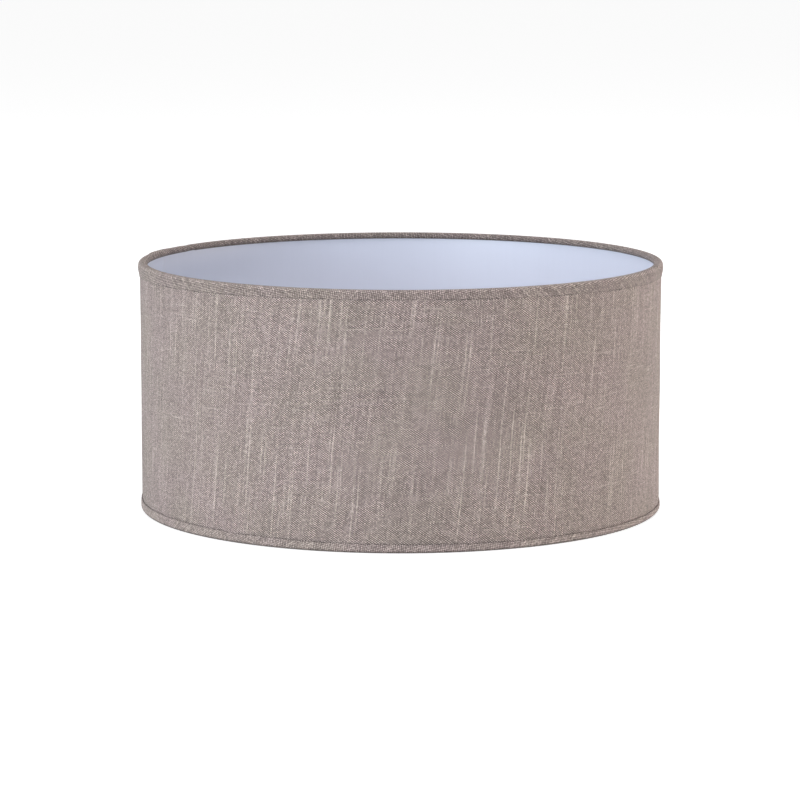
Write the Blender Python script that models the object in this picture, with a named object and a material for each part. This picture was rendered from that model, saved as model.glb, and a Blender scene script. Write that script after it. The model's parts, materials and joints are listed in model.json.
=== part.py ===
"""Drum lamp shade: linen cloth on a rolled white panel, held by two wire rings whose edges are bound
with strips of the same cloth, with the fitter for the lampholder raised on spokes from the bottom ring.

Metres, +Z up.  The shade stands on its bottom rim and the origin is the centre of that rim.
Angles run counter-clockwise from +X, and the lap seam is at the back, at +Y.
"""
import math

import bmesh
import bpy
from mathutils import Matrix, Vector

# Overall sizes
DIAMETER = 0.400                # over the trims
HEIGHT = 0.190                  # over the trims

# Sheets and strips
CLOTH_THICKNESS = 0.0005        # drum cover
PANEL_THICKNESS = 0.0004        # white plastic panel that stiffens the cover
TRIM_THICKNESS = 0.0006         # folded cloth strip of the trims
TAPE_THICKNESS = 0.0002         # double-sided tape
TAPE_HEIGHT = 0.0040            # tape behind each wire ring, hidden by the trim's tucked edge
TRIM_HEIGHT = 0.0085            # outer leg of a trim
TRIM_CORNER = 0.0010            # outer radius where a trim turns over the edge
GLUE_GAP = 0.00025              # line of glue between two pieces that are stuck together

# Wire frame
RING_WIRE = 0.0032              # wire diameter of both rings
SPOKE_WIRE = 0.0030
SPOKE_COUNT = 3
SPOKE_FOOT = 0.014              # level stretch at the ring, up to the middle of the bend
SPOKE_HEAD = 0.022              # level stretch at the fitter, up to the middle of the bend
SPOKE_BEND = 0.012              # bend radius
SLIT_CLEARANCE = 0.0003         # between a spoke and the slit it comes out of

# Fitter, a stamped washer with a turned-down rim
FITTER_RISE = 0.028             # underside of the washer above the bottom rim
FITTER_HOLE = 0.042             # hole for a large lampholder
FITTER_WIDTH = 0.009            # from the hole to the outside of the rim
FITTER_SHEET = 0.0010
FITTER_RIM = 0.0045             # height of the rim, over the sheet

# Reducer, a plastic ring clipped into the fitter
REDUCER_HOLE = 0.029            # hole for a small lampholder
REDUCER_FLANGE = 0.0030         # how far the flange reaches past the fitter's hole
REDUCER_SHEET = 0.0014
REDUCER_COLLAR = 0.0016         # wall of the collar
REDUCER_DROP = 0.0028           # how far the collar reaches below the washer
REDUCER_BEAD = 0.0004           # how far the bead stands out under the washer
CLIP_CLEARANCE = 0.0003

# Facets: every piece of the drum has its corners on the same angles, so all gaps stay even
SEGMENTS = 72
LAP_SEGMENTS = 1                # overlap of the panel and the cover
RAMP_SEGMENTS = 1               # stretch over which the outer end climbs onto the inner end
WIRE_SIDES = 8
WRAP_SEGMENTS = 4               # half turn of a trim round its wire ring
CORNER_SEGMENTS = 2
FITTER_SEGMENTS = 36
BEND_SEGMENTS = 3
SEAM_ANGLE = math.radians(160)   # left rear, out of sight from the front
SPOKE_ANGLE = math.radians(90)   # first spoke, at the back
SEGMENT_ANGLE = math.tau / SEGMENTS

# Radii through the wall of the drum, from the outside in
RIM = DIAMETER / 2
COVER_OUTER = RIM - TRIM_THICKNESS - GLUE_GAP
COVER_INNER = COVER_OUTER - CLOTH_THICKNESS
PANEL_INNER = COVER_INNER - GLUE_GAP - PANEL_THICKNESS
TAPE_INNER = PANEL_INNER - GLUE_GAP - TAPE_THICKNESS
RING_RADIUS = TAPE_INNER - GLUE_GAP - RING_WIRE / 2

# Distances from an end of the shade to what its trim wraps
EDGE_INSET = TRIM_THICKNESS + GLUE_GAP
RING_INSET = EDGE_INSET + RING_WIRE / 2

# Height by which the outer end of the lap lies over the inner end: one panel, cover and tape
LAP_LIFT = PANEL_THICKNESS + CLOTH_THICKNESS + TAPE_THICKNESS + 3 * GLUE_GAP

# Fitter radii
FITTER_INNER = FITTER_HOLE / 2
FITTER_OUTER = FITTER_INNER + FITTER_WIDTH


def clear_scene():
    for thing in list(bpy.data.objects):
        bpy.data.objects.remove(thing)


def make_material(name, color, roughness, metallic=0.0):
    material = bpy.data.materials.new(name)
    material.use_nodes = True
    shader = material.node_tree.nodes["Principled BSDF"]
    shader.inputs["Base Color"].default_value = (*color, 1.0)
    shader.inputs["Roughness"].default_value = roughness
    shader.inputs["Metallic"].default_value = metallic
    return material


def make_parent(name, height, parent=None):
    """An empty on the shade's axis, which carries the pieces that are placed from it."""
    empty = bpy.data.objects.new(name, None)
    empty.location.z = height
    empty.parent = parent
    bpy.context.collection.objects.link(empty)
    return empty


def add_object(name, data, material, parent):
    if not data.materials:
        data.materials.append(material)
    thing = bpy.data.objects.new(name, data)
    thing.parent = parent
    bpy.context.collection.objects.link(thing)
    return thing


def finish_mesh(bm, name):
    """Merge, turn every face outwards and shade the round faces smooth."""
    bmesh.ops.remove_doubles(bm, verts=bm.verts, dist=1e-6)
    bmesh.ops.recalc_face_normals(bm, faces=bm.faces)
    if bm.calc_volume(signed=True) < 0:
        bmesh.ops.reverse_faces(bm, faces=bm.faces)
    mesh = bpy.data.meshes.new(name)
    bm.to_mesh(mesh)
    bm.free()
    mesh.shade_smooth()
    mesh.set_sharp_from_angle(angle=math.radians(35))
    return mesh


def spun_mesh(outline, segments):
    """Turn a closed outline of (radius, height) points once round the Z axis."""
    bm = bmesh.new()
    corners = [bm.verts.new((radius, 0.0, height)) for radius, height in outline]
    edges = [bm.edges.new((a, b)) for a, b in zip(corners, corners[1:] + corners[:1])]
    bmesh.ops.spin(bm, geom=corners + edges, cent=(0, 0, 0), axis=(0, 0, 1), dvec=(0, 0, 0),
                   angle=math.tau, steps=segments, use_merge=True, use_duplicate=False)
    return bm


def lap_lift(step):
    """How far the rolled sheet stands out, step segments along from its inner end."""
    return LAP_LIFT * min(max((step - SEGMENTS) / RAMP_SEGMENTS + 1, 0), 1)


def rolled_sheet(name, inner, thickness, height, first, last):
    """A flat strip rolled to the drum's curve, from one segment to another, standing on z = 0."""
    bm = bmesh.new()
    bmesh.ops.create_cube(bm, size=1.0, matrix=Matrix.Translation((0.5, 0.5, 0.5)))
    if last - first > 1:
        along = [edge for edge in bm.edges if abs(edge.verts[0].co.x - edge.verts[1].co.x) > 0.5]
        bmesh.ops.subdivide_edges(bm, edges=along, cuts=last - first - 1, use_grid_fill=True)
    for vert in bm.verts:
        step = first + round(vert.co.x * (last - first))
        radius = inner + vert.co.y * thickness + lap_lift(step)
        angle = SEAM_ANGLE + step * SEGMENT_ANGLE
        vert.co = (radius * math.cos(angle), radius * math.sin(angle), vert.co.z * height)
    return finish_mesh(bm, name)


def band(radius, thickness, height):
    """Outline of a plain band that stands on z = 0."""
    return [(radius, 0), (radius + thickness, 0), (radius + thickness, height), (radius, height)]


def arc(center, radius, start, end, segments):
    """Points on an arc in the (radius, depth) plane, angles in degrees from straight outwards."""
    turns = [math.radians(start + (end - start) * i / segments) for i in range(segments + 1)]
    return [(center[0] + radius * math.cos(a), center[1] - radius * math.sin(a)) for a in turns]


def trim_skin(inset):
    """One side of a trim's strip as (radius, depth): up the outside, over the edge, round the wire
    and back under it.  Inset is 0 for the outer side and the strip's thickness for the inner side."""
    corner_center = (RIM - TRIM_CORNER, TRIM_CORNER)
    ring_center = (RING_RADIUS, RING_INSET)
    skin = [(RIM - inset, TRIM_HEIGHT)]
    skin += arc(corner_center, TRIM_CORNER - inset, 0, 90, CORNER_SEGMENTS)
    skin += arc(ring_center, RING_INSET - inset, 90, 270, WRAP_SEGMENTS)
    skin.append((RING_RADIUS + RING_WIRE / 2, 2 * RING_INSET - inset))
    return skin


def trim_mesh(name, direction):
    """A trim round the edge at z = 0, reaching along direction (1 up, -1 down), eased over the lap."""
    outline = trim_skin(0) + trim_skin(TRIM_THICKNESS)[::-1]
    bm = spun_mesh([(radius, direction * depth) for radius, depth in outline], SEGMENTS)
    outer_part = RIM - TRIM_CORNER - GLUE_GAP / 2
    for vert in bm.verts:
        radius = vert.co.xy.length
        step = round((math.atan2(vert.co.y, vert.co.x) - SEAM_ANGLE) / SEGMENT_ANGLE) % SEGMENTS
        if radius > outer_part and step <= LAP_SEGMENTS:
            vert.co.xy *= (radius + LAP_LIFT) / radius
    return finish_mesh(bm, name)


def ring_mesh():
    """Wire ring round z = 0."""
    bm = bmesh.new()
    place = Matrix.Translation((RING_RADIUS, 0, 0)) @ Matrix.Rotation(math.radians(90), 4, "X")
    bmesh.ops.create_circle(bm, segments=WIRE_SIDES, radius=RING_WIRE / 2, matrix=place)
    bmesh.ops.spin(bm, geom=bm.verts[:] + bm.edges[:], cent=(0, 0, 0), axis=(0, 0, 1), dvec=(0, 0, 0),
                   angle=math.tau, steps=SEGMENTS, use_merge=True, use_duplicate=False)
    return finish_mesh(bm, "wire_ring")


def bent_wire(points, bend_radius):
    """Path through the points with each inner corner rounded to the bend radius."""
    path = [points[0]]
    for before, corner, after in zip(points, points[1:], points[2:]):
        back = (before - corner).normalized()
        ahead = (after - corner).normalized()
        half_turn = (math.pi - back.angle(ahead)) / 2
        center = corner + (back + ahead).normalized() * bend_radius / math.cos(half_turn)
        start = corner + back * bend_radius * math.tan(half_turn) - center
        end = corner + ahead * bend_radius * math.tan(half_turn) - center
        turns = [start.slerp(end, i / BEND_SEGMENTS) for i in range(BEND_SEGMENTS + 1)]
        path += [center + turn.normalized() * bend_radius for turn in turns]
    return path + [points[-1]]


def spoke_curve(rim_middle):
    """Bent wire from the bottom ring, at +X, in and up to the middle of the fitter's rim."""
    outer_end = RING_RADIUS - RING_WIRE / 2 - GLUE_GAP
    inner_end = FITTER_OUTER + GLUE_GAP
    corners = [Vector((outer_end, 0, RING_INSET)),
               Vector((outer_end - SPOKE_FOOT, 0, RING_INSET)),
               Vector((inner_end + SPOKE_HEAD, 0, rim_middle)),
               Vector((inner_end, 0, rim_middle))]
    path = bent_wire(corners, SPOKE_BEND)
    curve = bpy.data.curves.new("spoke", "CURVE")
    curve.dimensions = "3D"
    curve.bevel_depth = SPOKE_WIRE / 2
    curve.bevel_resolution = WIRE_SIDES // 2 - 2
    curve.use_fill_caps = True
    spline = curve.splines.new("POLY")
    spline.points.add(len(path) - 1)
    for point, place in zip(spline.points, path):
        point.co = (*place, 1)
    return curve


def slit_cutter(angles):
    """One slot for each spoke, from the wire ring's inner side up through the trim's tucked edge."""
    bm = bmesh.new()
    width = SPOKE_WIRE + 2 * SLIT_CLEARANCE
    inner = RING_RADIUS - 2 * RING_INSET
    outer = RING_RADIUS + RING_WIRE / 2 + GLUE_GAP / 2
    low = RING_INSET - width / 2
    high = 3 * RING_INSET
    stretch = Matrix.Diagonal((outer - inner, width, high - low, 1))
    middle = Matrix.Translation(((inner + outer) / 2, 0, (low + high) / 2))
    for angle in angles:
        bmesh.ops.create_cube(bm, size=1.0, matrix=Matrix.Rotation(angle, 4, "Z") @ middle @ stretch)
    mesh = bpy.data.meshes.new("spoke_slits")
    bm.to_mesh(mesh)
    bm.free()
    return mesh


def cut(target, cutter_mesh):
    """Cut the target with a hidden cutter that has the target's own place."""
    cutter = bpy.data.objects.new(cutter_mesh.name, cutter_mesh)
    cutter.parent = target.parent
    cutter.hide_render = True
    cutter.display_type = "WIRE"
    bpy.context.collection.objects.link(cutter)
    modifier = target.modifiers.new("slits", "BOOLEAN")
    modifier.operation = "DIFFERENCE"
    modifier.solver = "EXACT"
    modifier.object = cutter


def fitter_outline():
    """Washer with its underside on z = 0 and its rim turned down."""
    rim_low = FITTER_SHEET - FITTER_RIM
    bevel = FITTER_SHEET / 2
    return [(FITTER_INNER, 0), (FITTER_OUTER - FITTER_SHEET, 0), (FITTER_OUTER - FITTER_SHEET, rim_low),
            (FITTER_OUTER, rim_low), (FITTER_OUTER, FITTER_SHEET - bevel),
            (FITTER_OUTER - bevel, FITTER_SHEET), (FITTER_INNER, FITTER_SHEET)]


def reducer_outline():
    """Flange on top of the washer and a collar through its hole, with a bead below the washer."""
    low = FITTER_SHEET + CLIP_CLEARANCE
    high = low + REDUCER_SHEET
    collar_outer = FITTER_INNER - CLIP_CLEARANCE
    collar_inner = collar_outer - REDUCER_COLLAR
    bead = FITTER_INNER + REDUCER_BEAD
    flange = FITTER_INNER + REDUCER_FLANGE
    return [(REDUCER_HOLE / 2, low), (collar_inner, low), (collar_inner, -REDUCER_DROP),
            (collar_outer, -REDUCER_DROP), (bead, -REDUCER_DROP / 2), (bead, -CLIP_CLEARANCE),
            (collar_outer, -CLIP_CLEARANCE), (collar_outer, low), (flange, low), (flange, high),
            (REDUCER_HOLE / 2, high)]


def build_drum(shade, cloth, trim_cloth, panel, tape):
    """Cover, panel and the tapes, all rolled to the same curve."""
    sheet_height = HEIGHT - 2 * EDGE_INSET
    sheets = (("fabric_cover", COVER_INNER, CLOTH_THICKNESS, 0, SEGMENTS + LAP_SEGMENTS, cloth),
              ("lining_panel", PANEL_INNER, PANEL_THICKNESS, 0, SEGMENTS + LAP_SEGMENTS, panel),
              ("seam_tape", COVER_OUTER + GLUE_GAP, TAPE_THICKNESS, 0, LAP_SEGMENTS, tape))
    for name, inner, thickness, first, last, material in sheets:
        mesh = rolled_sheet(name, inner, thickness, sheet_height, first, last)
        add_object(name, mesh, material, shade).location.z = EDGE_INSET
    tape_mesh = finish_mesh(spun_mesh(band(TAPE_INNER, TAPE_THICKNESS, TAPE_HEIGHT), SEGMENTS), "ring_tape")
    add_object("bottom_ring_tape", tape_mesh, tape, shade).location.z = EDGE_INSET
    add_object("top_ring_tape", tape_mesh, tape, shade).location.z = HEIGHT - EDGE_INSET - TAPE_HEIGHT
    add_object("top_trim", trim_mesh("top_trim", -1), trim_cloth, shade).location.z = HEIGHT


def build_frame(shade, trim_cloth, wire):
    """Wire rings, the bottom trim with its slits, and the spokes that come out of them."""
    ring = ring_mesh()
    add_object("top_ring", ring, wire, shade).location.z = HEIGHT - RING_INSET
    add_object("bottom_ring", ring, wire, shade).location.z = RING_INSET
    spoke_angles = [SPOKE_ANGLE + math.tau * i / SPOKE_COUNT for i in range(SPOKE_COUNT)]
    bottom_trim = add_object("bottom_trim", trim_mesh("bottom_trim", 1), trim_cloth, shade)
    cut(bottom_trim, slit_cutter(spoke_angles))
    spoke = spoke_curve(FITTER_RISE + FITTER_SHEET - FITTER_RIM / 2)
    for number, angle in enumerate(spoke_angles, 1):
        add_object(f"spoke_{number}", spoke, wire, shade).rotation_euler.z = angle


def build_fitter(shade, wire, plastic):
    """Washer and reducer, placed from the washer's underside."""
    fitter = make_parent("fitter", FITTER_RISE, shade)
    washer = finish_mesh(spun_mesh(fitter_outline(), FITTER_SEGMENTS), "fitter_ring")
    add_object("fitter_ring", washer, wire, fitter)
    reducer = finish_mesh(spun_mesh(reducer_outline(), FITTER_SEGMENTS), "reducer_ring")
    add_object("reducer_ring", reducer, plastic, fitter)


def main():
    clear_scene()
    cloth = make_material("linen_cloth", (0.36, 0.30, 0.27), 0.9)
    trim_cloth = make_material("bias_strip", (0.33, 0.27, 0.24), 0.9)
    panel = make_material("white_panel", (0.82, 0.84, 0.88), 0.4)
    tape = make_material("clear_tape", (0.85, 0.83, 0.75), 0.5)
    wire = make_material("white_wire", (0.80, 0.80, 0.79), 0.35)
    plastic = make_material("white_plastic", (0.84, 0.84, 0.82), 0.4)
    shade = make_parent("lamp_shade", 0.0)
    build_drum(shade, cloth, trim_cloth, panel, tape)
    build_frame(shade, trim_cloth, wire)
    build_fitter(shade, wire, plastic)


main()
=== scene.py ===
"""Linen drum lamp shade: the finished look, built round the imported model.

Every sheet starts flat, at the size it is cut to, and is then rolled or folded to its place.
All sizes are in metres and all angles in radians.
"""
import json
import math

import bmesh
import bpy
from bpy.props import FloatProperty, FloatVectorProperty, IntProperty, PointerProperty
from mathutils import Matrix, Vector, noise

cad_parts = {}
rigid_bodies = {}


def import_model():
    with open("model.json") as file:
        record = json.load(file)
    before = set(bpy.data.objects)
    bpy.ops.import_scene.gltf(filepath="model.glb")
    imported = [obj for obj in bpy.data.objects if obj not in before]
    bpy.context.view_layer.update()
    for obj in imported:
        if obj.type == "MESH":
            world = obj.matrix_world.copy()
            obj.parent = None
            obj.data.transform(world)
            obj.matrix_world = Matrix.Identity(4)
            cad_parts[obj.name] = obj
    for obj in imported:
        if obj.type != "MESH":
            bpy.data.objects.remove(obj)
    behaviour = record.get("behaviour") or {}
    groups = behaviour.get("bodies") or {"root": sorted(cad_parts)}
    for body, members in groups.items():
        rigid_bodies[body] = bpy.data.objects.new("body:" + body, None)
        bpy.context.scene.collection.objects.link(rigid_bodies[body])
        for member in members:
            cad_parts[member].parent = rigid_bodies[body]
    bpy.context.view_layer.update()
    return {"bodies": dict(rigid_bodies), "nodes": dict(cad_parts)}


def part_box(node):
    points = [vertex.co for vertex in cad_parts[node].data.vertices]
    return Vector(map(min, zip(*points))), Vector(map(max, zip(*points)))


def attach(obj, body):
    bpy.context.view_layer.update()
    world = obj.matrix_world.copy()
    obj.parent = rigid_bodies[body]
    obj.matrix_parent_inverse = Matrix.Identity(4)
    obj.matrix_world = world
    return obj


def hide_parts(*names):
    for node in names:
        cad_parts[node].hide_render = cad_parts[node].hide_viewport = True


bl_info = {
    "name": "Linen Drum Lamp Shade",
    "version": (1, 0, 0),
    "blender": (4, 5, 0),
    "location": "View3D > Sidebar > Lamp Shade",
    "description": "Builds the cloth, lining, trims and fitter of a drum lamp shade",
    "category": "Object",
}

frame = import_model()

# The drum, as the model gives it
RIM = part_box("top_trim")[1].x
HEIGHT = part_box("top_trim")[1].z
COVER_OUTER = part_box("fabric_cover")[1].x
PANEL_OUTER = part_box("lining_panel")[1].x
RING_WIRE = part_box("top_ring")[1].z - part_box("top_ring")[0].z
RING_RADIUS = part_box("top_ring")[1].x - RING_WIRE / 2
RING_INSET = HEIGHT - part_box("top_ring")[1].z + RING_WIRE / 2
SEAM_ANGLE = math.atan2(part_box("seam_tape")[1].y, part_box("seam_tape")[1].x)
LAP_ANGLE = math.atan2(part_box("seam_tape")[0].y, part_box("seam_tape")[0].x) - SEAM_ANGLE

# The wire frame.  The first spoke runs along +Y
SPOKES = ("spoke_1", "spoke_2", "spoke_3")
SPOKE_LOW, SPOKE_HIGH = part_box("spoke_1")
SPOKE_WIRE = SPOKE_HIGH.x - SPOKE_LOW.x
SPOKE_ANGLES = [math.radians(90) + math.tau * i / len(SPOKES) for i in range(len(SPOKES))]
FITTER_LOW, FITTER_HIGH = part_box("fitter_ring")
REDUCER_LOW, REDUCER_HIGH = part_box("reducer_ring")

# What the trims hide
EDGE_INSET = 0.0015         # cover and panel end this far short of each rim
LAP_LIFT = 0.00185          # the lap's upper layer is lifted this far
JOINT_LAP = 0.012           # the ends of a trim lie over each other this far
SLIT_SIDE = 0.0004          # room beside a spoke in its slit
SLIT_END = 0.0003           # room past a spoke at the end of its slit

# Fitter
CLIP_ROOM = 0.0003          # between the washer and the reducer
CLIP_BEAD = 0.0004          # how far the reducer's bead stands out under the washer

# Painted shade on a folded strip, by distance from its tucked edge or from its cut edge
PAINTED_TUCK_SHADE = (0.0026, 0.0056)    # painted shade under the wire fades out between these
PAINTED_TUCK_SHADE_TONE = 0.33
# Painted shadow line along a strip's cut edge fades out between these
PAINTED_EDGE_SHADOW = (0.0002, 0.0009)
FOLD_FADE = 0.0015          # length over which a fold's painted highlight or painted shade comes and goes

# Stage: name, place, width, height, power and colour of each light
LIGHTS = (
    ("key", (-1.60, -2.28, 1.22), 2.0, 2.0, 25.0, (0.93, 0.94, 1.0)),
    ("left_strip", (-2.08, -2.17, 0.45), 2.0, 0.6, 42.0, (0.80, 0.93, 1.0)),
    ("right_strip", (3.00, 0.15, 0.20), 2.0, 0.35, 51.0, (1.0, 0.94, 0.87)),
    ("top", (0.0, 0.3, 3.0), 1.6, 1.6, 44.0, (1.0, 1.0, 1.0)),
)
SKY_STRENGTH = 0.3
FLOOR_GLOW = 0.85
FLOOR_TINT = 0.67
LENS = 155.1
CAMERA_PLACE = (-0.0004, -2.6239, 0.4845)
CAMERA_DIP = math.radians(8.745)

# Names of the cloth's map and of the distance to a strip's cut edge
CLOTH_UV = "cloth"
CUT_EDGE = "to_cut_edge"


# Sizes and colours that a user would change

class ShadeSizes(bpy.types.PropertyGroup):
    """Sizes of the sheets and of the weave"""
    cloth_thickness: FloatProperty(
        name="Cloth thickness", description="Thickness of the drum's cover",
        default=0.0005, min=0.0001, unit="LENGTH", precision=5)
    panel_thickness: FloatProperty(
        name="Panel thickness", description="Thickness of the white panel",
        default=0.0004, min=0.0001, unit="LENGTH", precision=5)
    trim_thickness: FloatProperty(
        name="Trim thickness", description="Thickness of the strip that binds a rim",
        default=0.0006, min=0.0001, unit="LENGTH", precision=5)
    trim_corner: FloatProperty(
        name="Trim corner", description="Outer radius where a trim turns over the edge",
        default=0.0022, min=0.0007, unit="LENGTH", precision=5)
    top_trim_front: FloatProperty(
        name="Top trim at front", description="Outer height of the top trim at the front",
        default=0.0070, min=0.003, unit="LENGTH", precision=4)
    top_trim_side: FloatProperty(
        name="Top trim at sides", description="Outer height of the top trim at the sides",
        default=0.0104, min=0.003, unit="LENGTH", precision=4)
    bottom_trim: FloatProperty(
        name="Bottom trim", description="Outer height of the bottom trim at the front",
        default=0.0067, min=0.003, unit="LENGTH", precision=4)
    bottom_trim_slope: FloatProperty(
        name="Bottom trim slope", description="How much taller the bottom trim is at the left",
        default=0.0014, min=0.0, unit="LENGTH", precision=4)
    trim_bulge: FloatProperty(
        name="Trim bulge", description="How far the top trim stands out at the height of its wire",
        default=0.00055, min=0.0, unit="LENGTH", precision=5)
    trim_taper: FloatProperty(
        name="Trim taper", description="How much thinner a trim is pressed at its lower edge",
        default=0.00025, min=0.0, max=0.0003, unit="LENGTH", precision=5)
    spoke_foot: FloatProperty(
        name="Spoke foot", description="Level stretch of a spoke at the ring",
        default=0.014, min=0.005, unit="LENGTH", precision=4)
    spoke_head: FloatProperty(
        name="Spoke head", description="Level stretch of a spoke at the fitter",
        default=0.022, min=0.005, unit="LENGTH", precision=4)
    spoke_bend: FloatProperty(
        name="Spoke bend", description="Bend radius of a spoke",
        default=0.012, min=0.003, unit="LENGTH", precision=4)
    weld: FloatProperty(
        name="Weld", description="How far a weld spreads a spoke's end",
        default=0.0004, min=0.0, unit="LENGTH", precision=5)
    fitter_sheet: FloatProperty(
        name="Fitter sheet", description="Sheet metal of the fitter's washer",
        default=0.001, min=0.0005, unit="LENGTH", precision=5)
    fitter_hole: FloatProperty(
        name="Fitter hole", description="Hole of the fitter's washer",
        default=0.042, min=0.01, unit="LENGTH", precision=4)
    reducer_hole: FloatProperty(
        name="Reducer hole", description="Hole of the reducer ring",
        default=0.029, min=0.01, unit="LENGTH", precision=4)
    reducer_sheet: FloatProperty(
        name="Reducer flange", description="Thickness of the reducer's flange",
        default=0.0014, min=0.0005, unit="LENGTH", precision=5)
    reducer_collar: FloatProperty(
        name="Reducer collar", description="Wall of the reducer's collar",
        default=0.0016, min=0.0005, unit="LENGTH", precision=5)
    flutter: FloatProperty(
        name="Flutter", description="How far the wall strays from a true drum at mid height",
        default=0.0005, min=0.0, unit="LENGTH", precision=5)
    warp_pitch: FloatProperty(
        name="Warp pitch", description="Distance from one upright yarn to the next",
        default=0.0011, min=0.0002, unit="LENGTH", precision=5)
    weft_pitch: FloatProperty(
        name="Weft pitch", description="Distance from one level yarn to the next",
        default=0.00077, min=0.0002, unit="LENGTH", precision=5)
    warp_lean: FloatProperty(
        name="Warp lean", description="Angle by which the upright yarns lean",
        default=math.radians(5.5), subtype="ANGLE")
    columns: IntProperty(
        name="Columns", description="Divisions round the drum", default=360, min=72)


class ShadeColors(bpy.types.PropertyGroup):
    """Colours of the cloth, the lining, the metal and the floor"""
    warp: FloatVectorProperty(
        name="Warp", description="Upright yarns", subtype="COLOR", size=4,
        default=(0.482, 0.398, 0.370, 1), min=0, max=1)
    weft: FloatVectorProperty(
        name="Weft", description="Level yarns", subtype="COLOR", size=4,
        default=(0.132, 0.097, 0.089, 1), min=0, max=1)
    slub: FloatVectorProperty(
        name="Slub", description="Thick pale stretches of a yarn", subtype="COLOR", size=4,
        default=(0.60, 0.51, 0.45, 1), min=0, max=1)
    lining: FloatVectorProperty(
        name="Lining", description="White panel", subtype="COLOR", size=4,
        default=(0.672, 0.692, 0.795, 1), min=0, max=1)
    wire: FloatVectorProperty(
        name="Wire", description="Powder coat of the wire frame", subtype="COLOR", size=4,
        default=(0.80, 0.80, 0.79, 1), min=0, max=1)
    plastic: FloatVectorProperty(
        name="Reducer", description="Moulded reducer ring", subtype="COLOR", size=4,
        default=(0.84, 0.84, 0.82, 1), min=0, max=1)
    tape: FloatVectorProperty(
        name="Tape", description="Double-sided tape", subtype="COLOR", size=4,
        default=(0.78, 0.74, 0.62, 1), min=0, max=1)
    floor: FloatVectorProperty(
        name="Floor", description="Plain floor", subtype="COLOR", size=4,
        default=(0.90, 0.90, 0.90, 1), min=0, max=1)


def sizes():
    return bpy.context.scene.shade_sizes


def colors():
    return bpy.context.scene.shade_colors


# Shader building

class Number:
    """A number that varies over a surface.  Arithmetic on it adds Math nodes."""

    def __init__(self, finish, socket):
        self.finish = finish
        self.socket = socket

    def math(self, operation, first, second=0.0):
        made = self.finish.node("Math", {"operation": operation}, {0: first, 1: second})
        return Number(self.finish, made.outputs[0])

    def __add__(self, other):
        return self.math("ADD", self, other)

    def __radd__(self, other):
        return self.math("ADD", other, self)

    def __sub__(self, other):
        return self.math("SUBTRACT", self, other)

    def __rsub__(self, other):
        return self.math("SUBTRACT", other, self)

    def __mul__(self, other):
        return self.math("MULTIPLY", self, other)

    def __rmul__(self, other):
        return self.math("MULTIPLY", other, self)

    def __truediv__(self, other):
        return self.math("DIVIDE", self, other)

    def __mod__(self, other):
        return self.math("FLOORED_MODULO", self, other)

    def floor(self):
        return self.math("FLOOR", self)


class Finish:
    """One material in the making, with its Principled shader."""

    def __init__(self, name, constants):
        self.material = bpy.data.materials.new(name)
        self.material.use_nodes = True
        self.tree = self.material.node_tree
        self.shader = self.tree.nodes["Principled BSDF"]
        for socket, value in constants.items():
            self.shader.inputs[socket].default_value = value

    def feed(self, socket, value):
        value = value.socket if isinstance(value, Number) else value
        if isinstance(value, bpy.types.NodeSocket):
            self.tree.links.new(value, socket)
        else:
            socket.default_value = value

    def node(self, kind, settings, inputs):
        """Add a node from its type, its settings and the values or links of its sockets."""
        made = self.tree.nodes.new("ShaderNode" + kind)
        for name, value in settings.items():
            setattr(made, name, value)
        for socket, value in inputs.items():
            self.feed(made.inputs[socket], value)
        return made

    def numbers(self, vector):
        """The three parts of a vector."""
        made = self.node("SeparateXYZ", {}, {0: vector})
        return [Number(self, socket) for socket in made.outputs]

    def vector(self, x, y, z):
        return self.node("CombineXYZ", {}, {0: x, 1: y, 2: z}).outputs[0]

    def noise(self, vector, scale, detail=2.0, roughness=0.5):
        """Smooth noise around 0, mostly within a quarter either way."""
        made = self.node("TexNoise", {"noise_dimensions": "3D"},
                         {"Vector": vector, "Scale": scale, "Detail": detail, "Roughness": roughness})
        return Number(self, made.outputs[0]) - 0.5

    def ease(self, value, low, high):
        """0 below low, 1 above high, and smooth between."""
        made = self.node("MapRange", {"interpolation_type": "SMOOTHSTEP"},
                         {"Value": value, "From Min": low, "From Max": high})
        return Number(self, made.outputs[0])

    def mix(self, factor, first, second, blend="MIX"):
        """A colour between two others."""
        made = self.node("Mix", {"data_type": "RGBA", "blend_type": blend},
                         {0: factor, 6: first, 7: second})
        return made.outputs[2]

    def dim(self, color, amount):
        """A colour times a number."""
        if not isinstance(color, bpy.types.NodeSocket):
            color = color[:3]
        return self.node("VectorMath", {"operation": "SCALE"}, {0: color, "Scale": amount}).outputs[0]

    def bump(self, height):
        """Raise the surface by a height in metres."""
        made = self.node("Bump", {}, {"Strength": 1.0, "Distance": 1.0, "Height": height})
        self.feed(self.shader.inputs["Normal"], made.outputs[0])


def tinted(color, factor):
    return [min(channel * factor, 1.0) for channel in color[:3]] + [1.0]


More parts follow.
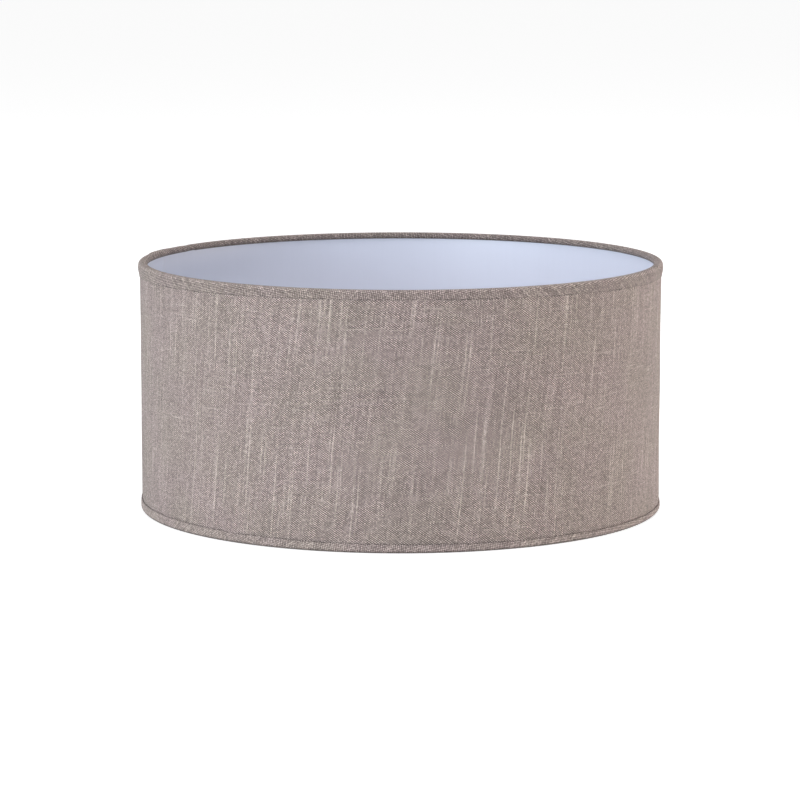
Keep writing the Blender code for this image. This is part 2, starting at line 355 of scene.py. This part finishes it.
def linen(name, turn, shade=1.0, edge_shadow_tone=1.0, fold=None):
    """Plain-woven cloth with slubs.  Turn is the cut's angle to the yarns.  A strip that is cut at an
    angle has painted shade at its tucked edge and a painted shadow line at its other edge, and its fold is
    painted lighter or darker, as painted highlight or painted shade, given as (start, stop, factor) across
    the strip.  Shade scales the strip's whole tone, as painted light or painted shade."""
    palette = colors()
    finish = Finish(name, {"Sheen Weight": 0.12, "Sheen Roughness": 0.5, "Specular IOR Level": 0.25})
    flat = finish.node("UVMap", {"uv_map": CLOTH_UV}, {}).outputs[0]
    cut = finish.node("VectorRotate", {"rotation_type": "Z_AXIS"},
                      {"Vector": flat, "Angle": turn}).outputs[0]
    x, y = finish.numbers(cut)[:2]

    # Yarns that lean and wander
    sway = finish.noise(cut, 9.0, 1.0)
    swell = finish.noise(finish.vector(x, y, 4.0), 11.0, 1.0)
    warp_shake = finish.noise(cut, 170.0, 2.0, 0.7)
    weft_shake = finish.noise(finish.vector(x, y, 5.0), 210.0, 2.0, 0.7)
    lean = math.tan(sizes().warp_lean)
    across = (x - y * lean + sway * 0.007) / sizes().warp_pitch + warp_shake * 1.2
    along = (y + swell * 0.004) / sizes().weft_pitch + weft_shake * 1.2
    warp_id = across.floor()
    weft_id = along.floor()
    warp_edge = (across - warp_id) * 2.0 - 1.0
    weft_edge = (along - weft_id) * 2.0 - 1.0
    over = (warp_id + weft_id) % 2.0

    # Thick pale stretches, which hide the yarn that crosses them
    warp_slub = finish.ease(finish.noise(finish.vector(warp_id * 1.31, y * 9.0, 11.0), 1.0), 0.02, 0.30)
    weft_slub = finish.ease(finish.noise(finish.vector(x * 28.0, weft_id * 1.31, 15.0), 1.0), 0.05, 0.30)
    warp_share = over * (1.0 - weft_slub * 0.3) + (1.0 - over) * warp_slub * 0.65
    weft_share = 1.0 - warp_share

    # Height of the yarn that lies on top, 1 at its crown and 0 in the pores
    warp_fall = warp_edge * warp_edge
    weft_fall = weft_edge * weft_edge
    warp_top = (1.0 - warp_fall * warp_fall) * (1.0 - weft_fall * over)
    weft_top = (1.0 - weft_fall * weft_fall) * (1.0 - warp_fall)
    crown = warp_share * warp_top + weft_share * weft_top

    # Tone of each yarn, of each crossing and of the whole cloth
    warp_tone = finish.noise(finish.vector(warp_id * 0.73, y * 14.0, 3.0), 1.0)
    weft_tone = finish.noise(finish.vector(x * 17.0, weft_id * 0.73, 7.0), 1.0)
    crossing = finish.node("TexWhiteNoise", {"noise_dimensions": "2D"},
                           {"Vector": finish.vector(warp_id, weft_id, 0.0)})
    speck = Number(finish, crossing.outputs["Value"]) - 0.5
    fibre = finish.noise(finish.vector(x * 2600.0, y * 2600.0, 0.0), 1.0, 3.0, 0.6)
    mottle = finish.noise(finish.vector(x, y, 20.0), 45.0, 2.0)
    clump = finish.noise(cut, 470.0, 1.0)
    tone = (1.0 + fibre * 0.5 + clump * 0.5 + mottle * 0.12) * (1.0 + speck * 0.6)
    if turn:
        # Painted shade: the strip darkens toward its tucked edge under the wire, and its whole tone is
        # scaled by its painted light or shade factor
        strip = finish.numbers(flat)[1]
        tone = tone * (PAINTED_TUCK_SHADE_TONE + finish.ease(strip, *PAINTED_TUCK_SHADE) * (1.0 - PAINTED_TUCK_SHADE_TONE)) * shade
        # Painted shadow line: the strip darkens along its cut edge
        edge = finish.node("Attribute", {"attribute_name": CUT_EDGE}, {}).outputs["Fac"]
        tone = tone * (edge_shadow_tone + finish.ease(edge, *PAINTED_EDGE_SHADOW) * (1.0 - edge_shadow_tone))
    # Painted highlight at the fold where the factor is above 1, painted shade where it is below 1
    if fold:
        start, stop, factor = fold
        rising = finish.ease(strip, start, start + FOLD_FADE)
        inside = rising * (1.0 - finish.ease(strip, stop - FOLD_FADE, stop))
        tone = tone * (1.0 + inside * (factor - 1.0))
    warp = finish.mix(warp_slub, finish.dim(palette.warp, 1.0 + warp_tone * 0.9), palette.slub)
    weft = finish.mix(weft_slub * 0.6, finish.dim(palette.weft, 1.0 + weft_tone * 0.9), palette.slub)
    yarn = finish.mix(warp_share, weft, warp)
    blush = finish.ease(finish.noise(finish.vector(x, y, 30.0), 22.0, 2.0), -0.2, 0.2)
    cast = finish.mix(blush, (0.99, 1.005, 0.975, 1), (1.01, 0.995, 1.01, 1))
    dyed = finish.mix(1.0, yarn, cast, "MULTIPLY")
    # The base colour is painted lighter on the yarn crowns and darker in the pores, as painted highlight
    # and painted shade in the weave
    finish.feed(finish.shader.inputs["Base Color"], finish.dim(dyed, (0.62 + crown * 0.5) * tone))
    finish.feed(finish.shader.inputs["Roughness"], 0.88 + fibre * 0.2)
    slub = warp_share * warp_slub + weft_share * weft_slub
    finish.bump((crown * 0.16 + slub * 0.10 + fibre * 0.05) * 0.001)
    return finish.material


def coated_film():
    """Smooth white plastic film with a satin face."""
    finish = Finish("white_film", {"Specular IOR Level": 0.45})
    place = finish.node("TexCoord", {}, {}).outputs["Object"]
    flat = finish.node("UVMap", {"uv_map": CLOTH_UV}, {}).outputs[0]
    x, y = finish.numbers(flat)[:2]
    cloud = finish.noise(place, 14.0, 3.0)
    grain = finish.noise(place, 900.0, 2.0)
    yarns = finish.noise(finish.vector(x * 260.0, y * 12.0, 0.0), 1.0, 2.0)
    tone = 1.0 + cloud * 0.05 + yarns * 0.025
    finish.feed(finish.shader.inputs["Base Color"], finish.dim(colors().lining, tone))
    finish.feed(finish.shader.inputs["Roughness"], 0.42 + cloud * 0.15 + grain * 0.05)
    finish.bump((cloud * 0.4 + grain * 0.006) * 0.001)
    return finish.material


def powder_coat():
    """White powder coat with its fine orange peel."""
    finish = Finish("powder_coat", {"Specular IOR Level": 0.5})
    place = finish.node("TexCoord", {}, {}).outputs["Object"]
    peel = finish.noise(place, 1400.0, 2.0)
    dust = finish.noise(place, 60.0, 4.0, 0.6)
    finish.feed(finish.shader.inputs["Base Color"], finish.dim(colors().wire, 1.0 + dust * 0.12))
    finish.feed(finish.shader.inputs["Roughness"], 0.36 + dust * 0.25)
    finish.bump(peel * 0.00006)
    return finish.material


def moulded_plastic():
    """White moulded plastic, a little duller where it is handled."""
    finish = Finish("moulded_plastic", {"Specular IOR Level": 0.5})
    place = finish.node("TexCoord", {}, {}).outputs["Object"]
    spark = finish.noise(place, 2200.0, 2.0)
    haze = finish.noise(place, 90.0, 3.0)
    finish.feed(finish.shader.inputs["Base Color"], finish.dim(colors().plastic, 1.0 + haze * 0.06))
    finish.feed(finish.shader.inputs["Roughness"], 0.40 + haze * 0.2)
    finish.bump(spark * 0.00005)
    return finish.material


def adhesive_tape():
    """Amber-clear tape with small trapped bubbles."""
    finish = Finish("adhesive_tape", {"Specular IOR Level": 0.5})
    place = finish.node("TexCoord", {}, {}).outputs["Object"]
    bubble = finish.ease(finish.noise(place, 500.0, 1.0), 0.12, 0.2)
    streak = finish.noise(place, 40.0, 2.0)
    pale = tinted(colors().tape, 1.15)
    finish.feed(finish.shader.inputs["Base Color"], finish.mix(bubble, colors().tape, pale))
    finish.feed(finish.shader.inputs["Roughness"], 0.45 + streak * 0.2)
    finish.bump(bubble * 0.00004)
    return finish.material


# Mesh building

def ease(value):
    """Smooth step from 0 to 1."""
    value = min(max(value, 0.0), 1.0)
    return value * value * (3.0 - 2.0 * value)


def drift(angle, height, seed, lobes, along=20.0):
    """Smooth noise round the drum, from about -0.5 to 0.5, that closes on itself."""
    place = Vector((math.cos(angle) * lobes, math.sin(angle) * lobes, height * along + seed))
    return noise.noise(place) * 0.8


def wall_drift(angle, height):
    """How far the wall strays from a true drum: nothing at the wire rings."""
    belly = math.sin(math.pi * min(max(height / HEIGHT, 0.0), 1.0))
    return belly * sizes().flutter * 2.0 * drift(angle, height, 5.0, 1.6)


def flat_strip(length, width, columns, rows):
    """A flat strip from the origin along +X and +Y."""
    bm = bmesh.new()
    place = Matrix.Diagonal((length, width, 1, 1)) @ Matrix.Translation((0.5, 0.5, 0))
    bmesh.ops.create_grid(bm, x_segments=columns, y_segments=rows, size=0.5, matrix=place)
    return bm


def map_cloth(bm):
    """Give every corner the place on the flat cloth that it is cut from, in metres."""
    layer = bm.loops.layers.uv.new(CLOTH_UV)
    for face in bm.faces:
        for loop in face.loops:
            loop[layer].uv = loop.vert.co.xy


def thicken(bm, thickness, edge_radius):
    """Give the flat strip its thickness, upwards, and round its cut edges."""
    upper = bmesh.ops.extrude_face_region(bm, geom=bm.faces[:] + bm.edges[:] + bm.verts[:],
                                          use_keep_orig=True)
    moved = [item for item in upper["geom"] if isinstance(item, bmesh.types.BMVert)]
    bmesh.ops.translate(bm, verts=moved, vec=(0, 0, thickness))
    bmesh.ops.recalc_face_normals(bm, faces=bm.faces)
    rim = [edge for edge in bm.edges if len(edge.link_faces) == 2 and edge.calc_face_angle(0) > 1.0
           and abs(edge.verts[0].co.z - edge.verts[1].co.z) < thickness / 2]
    bmesh.ops.bevel(bm, geom=rim, offset=edge_radius, offset_type="OFFSET", segments=2, profile=0.5,
                    affect="EDGES", material=-1, clamp_overlap=True)
    map_cloth(bm)


def finish_piece(bm, name, material, replaced, smooth_angle=40.0):
    """Turn a bmesh into a piece that stands for CAD nodes and rides on their body."""
    bmesh.ops.remove_doubles(bm, verts=bm.verts, dist=1e-7)
    bmesh.ops.recalc_face_normals(bm, faces=bm.faces)
    if bm.calc_volume(signed=True) < 0:
        bmesh.ops.reverse_faces(bm, faces=bm.faces)
    mesh = bpy.data.meshes.new(name)
    bm.to_mesh(mesh)
    bm.free()
    mesh.shade_smooth()
    mesh.set_sharp_from_angle(angle=math.radians(smooth_angle))
    mesh.materials.append(material)
    piece = bpy.data.objects.new(name, mesh)
    bpy.context.scene.collection.objects.link(piece)
    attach(piece, BODY)
    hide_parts(*replaced)
    return piece


BODY = next(iter(frame["bodies"]))


def roll(bm, inner, radius, low):
    """Roll a flat strip round the drum.  Its far end climbs onto its near end at the seam."""
    turn = math.tau
    climb_start = turn - LAP_ANGLE
    for vert in bm.verts:
        swept = vert.co.x / radius
        lift = LAP_LIFT * ease((swept - climb_start) / LAP_ANGLE)
        angle = SEAM_ANGLE + swept
        height = low + vert.co.y
        distance = inner + vert.co.z + lift + wall_drift(angle, height)
        vert.co = (distance * math.cos(angle), distance * math.sin(angle), height)


def build_rolled(name, outer, thickness, material, rows):
    """Cover or panel: cut flat, then rolled with a lap at the left rear."""
    radius = outer - thickness / 2
    length = radius * (math.tau + LAP_ANGLE)
    width = HEIGHT - 2 * EDGE_INSET
    bm = flat_strip(length, width, sizes().columns, rows)
    thicken(bm, thickness, thickness * 0.3)
    roll(bm, outer - thickness, radius, EDGE_INSET)
    return finish_piece(bm, name, material, [name]), (width, length)


class TrimFold:
    """Section of a folded trim: tucked under the wire, round it, over the edge and down outside.

    Places are (radius, depth from the shade's end), measured along the strip's middle."""

    def __init__(self):
        self.half = sizes().trim_thickness / 2
        self.corner = sizes().trim_corner
        self.tuck = RING_WIRE / 2
        self.wrap = math.pi * (RING_INSET - self.half)
        self.top = RIM - self.corner - RING_RADIUS
        self.turn = math.pi / 2 * (self.corner - self.half)
        self.leg_start = self.tuck + self.wrap + self.top + self.turn

    def place(self, along):
        """(radius, depth, outward direction) at a distance along the strip from its tucked edge."""
        if along <= self.tuck:
            radius = RING_RADIUS + self.tuck - along
            return radius, 2 * RING_INSET - self.half, (0.0, 1.0)
        along -= self.tuck
        if along <= self.wrap:
            return self.bend(RING_RADIUS, RING_INSET, RING_INSET - self.half, 270 - 180 * along / self.wrap)
        along -= self.wrap
        if along <= self.top:
            return RING_RADIUS + along, self.half, (0.0, -1.0)
        along -= self.top
        if along <= self.turn:
            return self.bend(RIM - self.corner, self.corner, self.corner - self.half,
                             90 - 90 * along / self.turn)
        return RIM - self.half, self.corner + along - self.turn, (1.0, 0.0)

    @staticmethod
    def bend(radius, depth, bend_radius, degrees):
        """A place on a bend; 0 degrees points out from the drum and 90 towards the shade's end."""
        out = math.cos(math.radians(degrees))
        up = -math.sin(math.radians(degrees))
        return radius + bend_radius * out, depth + bend_radius * up, (out, up)


def cut_slits(bm, centers, fold):
    """Slit the strip from its tucked edge, where the spokes come out."""
    half_width = SPOKE_WIRE / 2 + SLIT_SIDE
    reach = math.asin((SPOKE_WIRE / 2 + SLIT_END) / (RING_INSET - fold.half))
    end = fold.tuck + (RING_INSET - fold.half) * (math.pi / 2 + reach)
    for center in centers:
        for side in (-half_width, half_width):
            bmesh.ops.bisect_plane(bm, geom=bm.verts[:] + bm.edges[:] + bm.faces[:], dist=1e-6,
                                   plane_co=(center + side, 0, 0), plane_no=(1, 0, 0))
    bmesh.ops.bisect_plane(bm, geom=bm.verts[:] + bm.edges[:] + bm.faces[:], dist=1e-6,
                           plane_co=(0, end, 0), plane_no=(0, 1, 0))
    gone = []
    for face in bm.faces:
        middle = face.calc_center_median()
        if middle.y < end and any(abs(middle.x - center) < half_width for center in centers):
            gone.append(face)
    bmesh.ops.delete(bm, geom=gone, context="FACES")


def lap_rise(angle):
    """How far the cover stands out under the trim, at its lap."""
    swept = (angle - SEAM_ANGLE) % math.tau
    climb = ease((swept - math.tau + LAP_ANGLE) / LAP_ANGLE)
    settle = 1.0 - ease((swept - LAP_ANGLE) / LAP_ANGLE)
    return LAP_LIFT * max(climb, settle)


def build_trim(name, upper, leg_height, bulge, seed, slit_angles, material):
    """Bias strip folded round one rim, with its ends lapped slantwise near the seam."""
    size = sizes()
    fold = TrimFold()
    thickness = size.trim_thickness
    joint_angle = SEAM_ANGLE - 2.5 * LAP_ANGLE
    girth = math.tau * RIM
    longest_leg = max(leg_height(math.tau * i / 72) for i in range(72)) - fold.corner
    width = fold.leg_start + longest_leg
    bm = flat_strip(girth + JOINT_LAP, width, size.columns, 44)
    if slit_angles:
        cut_slits(bm, [((angle - joint_angle) % math.tau) * RIM for angle in slit_angles], fold)
    for vert in bm.verts:
        down = max(vert.co.y - fold.leg_start, 0) / longest_leg
        angle = joint_angle + vert.co.x / RIM
        ragged = 0.0006 * drift(angle, 0, seed, 9.0) + 0.0004 * drift(angle, 0, seed + 3, 26.0)
        vert.co.y -= down * (longest_leg - leg_height(angle) + fold.corner - ragged)
    thicken(bm, thickness, thickness * 0.32)
    to_edge = bm.verts.layers.float.new(CUT_EDGE)
    for vert in bm.verts:
        flat = vert.co.copy()
        slant = 1 - ease(min(flat.x, girth + JOINT_LAP - flat.x) / 0.03)
        angle = joint_angle + (flat.x + slant * (flat.y - width) * 0.7) / RIM
        radius, depth, (out, up) = fold.place(flat.y)
        leg = ease((flat.y - fold.leg_start + 0.001) / 0.001)
        leg_length = leg_height(angle) - fold.corner
        vert[to_edge] = leg_length - (flat.y - fold.leg_start)
        share = (flat.y - fold.leg_start + fold.turn) / (leg_length + fold.turn)
        swollen = ease(share / 0.45) * (1 - ease((share - 0.45) / 0.55))
        pressed = ease((share - 0.6) / 0.4)
        pucker = 0.00012 * leg * drift(angle, flat.y, seed + 6, 22.0, 150.0)
        raised = (swollen * bulge - pressed * size.trim_taper) * flat.z / thickness + pucker

        # The far end lies over the near end: on top of it outside, pressed into it elsewhere
        over = ease((flat.x - girth + 0.004) / 0.003)
        under = 1 - ease((flat.x - JOINT_LAP - 0.001) / 0.003)
        raised += over * (leg * (thickness + 0.00012) + (1 - leg) * (thickness - flat.z) * 0.56)
        raised -= under * (1 - leg) * (flat.z * 0.5 + thickness * 0.02)

        offset = flat.z - thickness / 2 + raised
        outward = ease((radius - RING_RADIUS) / (RIM - RING_RADIUS - fold.corner))
        radius += offset * out + lap_rise(angle) * outward
        depth += offset * up
        height = HEIGHT - depth if upper else depth
        vert.co = (radius * math.cos(angle), radius * math.sin(angle), height)
    piece = finish_piece(bm, name, material, [name])
    return piece, (width, girth + JOINT_LAP)


def bent_path(corners, bend_radius):
    """Stretches of a bent wire in the (radius, height) plane: (start, direction, length, turn)."""
    stretches = []
    start = corners[0]
    for before, corner, after in zip(corners, corners[1:], corners[2:]):
        arriving = (corner - before).normalized()
        leaving = (after - corner).normalized()
        turn = arriving.angle_signed(leaving)
        setback = bend_radius * math.tan(abs(turn) / 2)
        end = corner - arriving * setback
        stretches.append((start, arriving, (end - start).length, 0.0))
        stretches.append((end, arriving, bend_radius * abs(turn), turn))
        start = corner + leaving * setback
    direction = (corners[-1] - start).normalized()
    stretches.append((start, direction, (corners[-1] - start).length, 0.0))
    return stretches


def along_path(stretches, along):
    """(place, direction) at a distance along a bent wire."""
    for start, direction, length, turn in stretches:
        if along <= length:
            break
        along -= length
    if turn == 0:
        return start + direction * along, direction
    radius = length / abs(turn)
    swept = -turn * along / length
    turned = Matrix.Rotation(swept, 2) @ direction
    side = Vector((-direction.y, direction.x)) * math.copysign(radius, swept)
    end_side = Vector((-turned.y, turned.x)) * math.copysign(radius, swept)
    return start + side - end_side, turned


def build_spoke(name, angle, material):
    """Straight wire, spread at both welds, then bent to the spoke's shape and turned to its place."""
    size = sizes()
    wire = SPOKE_WIRE / 2
    ring_end = Vector((RING_RADIUS, SPOKE_LOW.z + wire))
    fitter_end = Vector((FITTER_HIGH.x - size.fitter_sheet / 2, SPOKE_HIGH.z - wire))
    corners = [ring_end, Vector((SPOKE_HIGH.y - size.spoke_foot, ring_end.y)),
               Vector((SPOKE_LOW.y + size.spoke_head, fitter_end.y)), fitter_end]
    stretches = bent_path(corners, size.spoke_bend)
    length = sum(stretch[2] for stretch in stretches)
    bm = bmesh.new()
    place = Matrix.Translation((length / 2, 0, 0)) @ Matrix.Rotation(math.radians(90), 4, "Y")
    bmesh.ops.create_cone(bm, cap_ends=True, segments=20, radius1=wire, radius2=wire, depth=length,
                          matrix=place)
    lengthwise = [edge for edge in bm.edges if abs(edge.verts[0].co.x - edge.verts[1].co.x) > length / 2]
    bmesh.ops.subdivide_edges(bm, edges=lengthwise, cuts=249, use_grid_fill=True)
    for vert in bm.verts:
        along, side, up = vert.co
        to_weld = min(along - (RING_RADIUS - SPOKE_HIGH.y) + 0.0004, length - along)
        spread = 1 + size.weld / wire * (1 - ease(to_weld / 0.0012))
        middle, direction = along_path(stretches, along)
        normal = Vector((-direction.y, direction.x))
        section = middle + normal * up * spread
        vert.co = (section.x, side * spread, section.y)
    bmesh.ops.rotate(bm, verts=bm.verts, cent=(0, 0, 0), matrix=Matrix.Rotation(angle, 3, "Z"))
    return finish_piece(bm, name, material, [name])


def spun(profile, segments, bevel=0.0, bevel_angle=35.0):
    """Turn a closed outline of (radius, height) once round Z, with its sharp edges rounded."""
    bm = bmesh.new()
    corners = [bm.verts.new((radius, 0, height)) for radius, height in profile]
    edges = [bm.edges.new(pair) for pair in zip(corners, corners[1:] + corners[:1])]
    bmesh.ops.spin(bm, geom=corners + edges, cent=(0, 0, 0), axis=(0, 0, 1), dvec=(0, 0, 0),
                   angle=math.tau, steps=segments, use_merge=True, use_duplicate=False)
    bmesh.ops.recalc_face_normals(bm, faces=bm.faces)
    if bevel:
        sharp = [edge for edge in bm.edges if edge.calc_face_angle(0) > math.radians(bevel_angle)]
        bmesh.ops.bevel(bm, geom=sharp, offset=bevel, offset_type="OFFSET", segments=2, profile=0.5,
                        affect="EDGES", material=-1, clamp_overlap=True)
    return bm


# Operators

class BuildCover(bpy.types.Operator):
    """Roll the linen cover round the drum"""
    bl_idname = "shade.build_cover"
    bl_label = "Cloth Cover"

    def execute(self, context):
        material = linen("linen_cloth", 0.0)
        cover, flat = build_rolled("fabric_cover", COVER_OUTER, sizes().cloth_thickness, material,
                                   24)
        return {"FINISHED"}


class BuildLining(bpy.types.Operator):
    """Roll the white panel inside the cover"""
    bl_idname = "shade.build_lining"
    bl_label = "Lining Panel"

    def execute(self, context):
        build_rolled("lining_panel", PANEL_OUTER, sizes().panel_thickness, coated_film(),
                     16)
        return {"FINISHED"}


class BuildTrims(bpy.types.Operator):
    """Fold a bias strip round each rim"""
    bl_idname = "shade.build_trims"
    bl_label = "Bias Trims"

    def execute(self, context):
        size = sizes()
        fold = TrimFold()
        corner = fold.leg_start - fold.turn
        cut = math.radians(45)
        # Lit and shaded copies of one cloth: the upper strip is painted darker overall with a painted
        # highlight at its top fold, the lower strip painted lighter overall with painted shade at its lower
        # fold
        upper_cloth = linen("upper_bias_strip", cut, 0.84, 0.65, (0.0065, corner + 0.0035, 1.32))
        lower_cloth = linen("lower_bias_strip", cut, 1.04, 0.75, (corner - 0.002, corner + 0.0032, 0.35))

        def top_leg(angle):
            return size.top_trim_front + (size.top_trim_side - size.top_trim_front) * math.cos(angle) ** 2

        def bottom_leg(angle):
            return size.bottom_trim - size.bottom_trim_slope * math.cos(angle)

        for name, upper, leg, bulge, seed, slits, cloth in (
                ("top_trim", True, top_leg, size.trim_bulge, 40.0, [], upper_cloth),
                ("bottom_trim", False, bottom_leg, 0.0, 60.0, SPOKE_ANGLES, lower_cloth)):
            trim, flat = build_trim(name, upper, leg, bulge, seed, slits, cloth)
        return {"FINISHED"}


class BuildFrame(bpy.types.Operator):
    """Bend the two wire rings and the spokes"""
    bl_idname = "shade.build_frame"
    bl_label = "Wire Frame"

    def execute(self, context):
        material = powder_coat()
        for name in ("top_ring", "bottom_ring"):
            low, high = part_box(name)
            place = Matrix.Translation((RING_RADIUS, 0, (low.z + high.z) / 2)) \
                @ Matrix.Rotation(math.radians(90), 4, "X")
            bm = bmesh.new()
            bmesh.ops.create_circle(bm, segments=16, radius=RING_WIRE / 2, matrix=place)
            bmesh.ops.spin(bm, geom=bm.verts[:] + bm.edges[:], cent=(0, 0, 0), axis=(0, 0, 1),
                           dvec=(0, 0, 0), angle=math.tau, steps=216, use_merge=True,
                           use_duplicate=False)
            finish_piece(bm, name, material, [name])
        for name, angle in zip(SPOKES, SPOKE_ANGLES):
            build_spoke(name, angle, material)
        return {"FINISHED"}


class BuildFitter(bpy.types.Operator):
    """Press the washer and mould the reducer that clips into it"""
    bl_idname = "shade.build_fitter"
    bl_label = "Fitter"

    def execute(self, context):
        size = sizes()
        hole = size.fitter_hole / 2
        sheet = size.fitter_sheet
        rim = FITTER_HIGH.x
        under = FITTER_HIGH.z - sheet
        washer = [(hole, under), (rim - 1.6 * sheet, under), (rim - sheet, under - 0.6 * sheet),
                  (rim - sheet, FITTER_LOW.z), (rim, FITTER_LOW.z), (rim, FITTER_HIGH.z - 1.5 * sheet),
                  (rim - 0.45 * sheet, FITTER_HIGH.z - 0.45 * sheet), (rim - 1.5 * sheet, FITTER_HIGH.z),
                  (hole, FITTER_HIGH.z)]
        finish_piece(spun(washer, 120, sheet * 0.2, 30), "fitter_ring", powder_coat(),
                     ["fitter_ring"])

        flange = REDUCER_HIGH.x
        flange_low = REDUCER_HIGH.z - size.reducer_sheet
        bead = hole + CLIP_BEAD
        collar = hole - CLIP_ROOM
        inside = collar - size.reducer_collar
        foot = REDUCER_LOW.z
        bore = size.reducer_hole / 2
        ring = [(bore, flange_low), (inside, flange_low), (inside, foot), (collar - 0.0002, foot),
                (bead, foot + 0.0014), (bead, under - CLIP_ROOM), (collar, under - CLIP_ROOM),
                (collar, flange_low),
                (flange, flange_low), (flange, REDUCER_HIGH.z - 0.0003), (flange - 0.0003, REDUCER_HIGH.z),
                (flange - 0.0012, REDUCER_HIGH.z), (flange - 0.0014, REDUCER_HIGH.z - 0.0003),
                (bore + 0.0014, REDUCER_HIGH.z - 0.0003), (bore + 0.0012, REDUCER_HIGH.z),
                (bore, REDUCER_HIGH.z)]
        finish_piece(spun(ring, 120, 0.00012, 30), "reducer_ring", moulded_plastic(),
                     ["reducer_ring"])
        return {"FINISHED"}


class FinishTapes(bpy.types.Operator):
    """Give the tapes their finish"""
    bl_idname = "shade.finish_tapes"
    bl_label = "Tapes"

    def execute(self, context):
        material = adhesive_tape()
        for name in ("seam_tape", "top_ring_tape", "bottom_ring_tape"):
            frame["nodes"][name].data.materials.clear()
            frame["nodes"][name].data.materials.append(material)
        return {"FINISHED"}


class BuildStage(bpy.types.Operator):
    """Set the floor, the lights and the camera"""
    bl_idname = "shade.build_stage"
    bl_label = "Stage"

    def execute(self, context):
        scene = context.scene
        scene.view_settings.view_transform = "Standard"
        bm = bmesh.new()
        bmesh.ops.create_grid(bm, x_segments=1, y_segments=1, size=40)
        mesh = bpy.data.meshes.new("floor")
        bm.to_mesh(mesh)
        bm.free()
        paint = Finish("floor_paint", {
            "Roughness": 0.9, "Base Color": tinted(colors().floor, FLOOR_TINT),
            "Emission Color": colors().floor, "Emission Strength": FLOOR_GLOW})
        mesh.materials.append(paint.material)
        floor = bpy.data.objects.new("floor", mesh)
        scene.collection.objects.link(floor)

        scene.world = bpy.data.worlds.new("studio")
        scene.world.use_nodes = True
        sky = scene.world.node_tree.nodes["Background"]
        sky.inputs["Color"].default_value = (1.0, 1.0, 1.0, 1.0)
        sky.inputs["Strength"].default_value = SKY_STRENGTH

        middle = Vector((0, 0, HEIGHT / 2))
        for name, place, width, height, power, color in LIGHTS:
            light = bpy.data.lights.new(name, "AREA")
            light.shape = "RECTANGLE"
            light.size = width
            light.size_y = height
            light.energy = power
            light.color = color
            lamp = bpy.data.objects.new(name, light)
            lamp.location = place
            lamp.rotation_euler = (middle - Vector(place)).to_track_quat("-Z", "Y").to_euler()
            scene.collection.objects.link(lamp)

        lens = bpy.data.cameras.new("camera")
        lens.lens = LENS
        lens.clip_end = 200
        camera = bpy.data.objects.new("camera", lens)
        camera.location = CAMERA_PLACE
        camera.rotation_euler = (math.radians(90) - CAMERA_DIP, 0, 0)
        scene.collection.objects.link(camera)
        scene.camera = camera
        return {"FINISHED"}


class ShadePanel(bpy.types.Panel):
    """Sidebar panel that lists the pieces and their settings"""
    bl_idname = "VIEW3D_PT_lamp_shade"
    bl_label = "Lamp Shade"
    bl_space_type = "VIEW_3D"
    bl_region_type = "UI"
    bl_category = "Lamp Shade"

    def draw(self, context):
        layout = self.layout
        for group in (context.scene.shade_sizes, context.scene.shade_colors):
            for name in group.__annotations__:
                layout.prop(group, name)
        for operator in OPERATORS:
            layout.operator(operator.bl_idname)


OPERATORS = (BuildStage, BuildCover, BuildLining, BuildTrims, BuildFrame, BuildFitter, FinishTapes)
CLASSES = (ShadeSizes, ShadeColors, *OPERATORS, ShadePanel)


def register():
    for item in CLASSES:
        bpy.utils.register_class(item)
    bpy.types.Scene.shade_sizes = PointerProperty(type=ShadeSizes)
    bpy.types.Scene.shade_colors = PointerProperty(type=ShadeColors)


def unregister():
    del bpy.types.Scene.shade_colors
    del bpy.types.Scene.shade_sizes
    for item in reversed(CLASSES):
        bpy.utils.unregister_class(item)


def main():
    register()
    for operator in OPERATORS:
        group, name = operator.bl_idname.split(".")
        getattr(getattr(bpy.ops, group), name)()


if __name__ == "__main__":
    main()
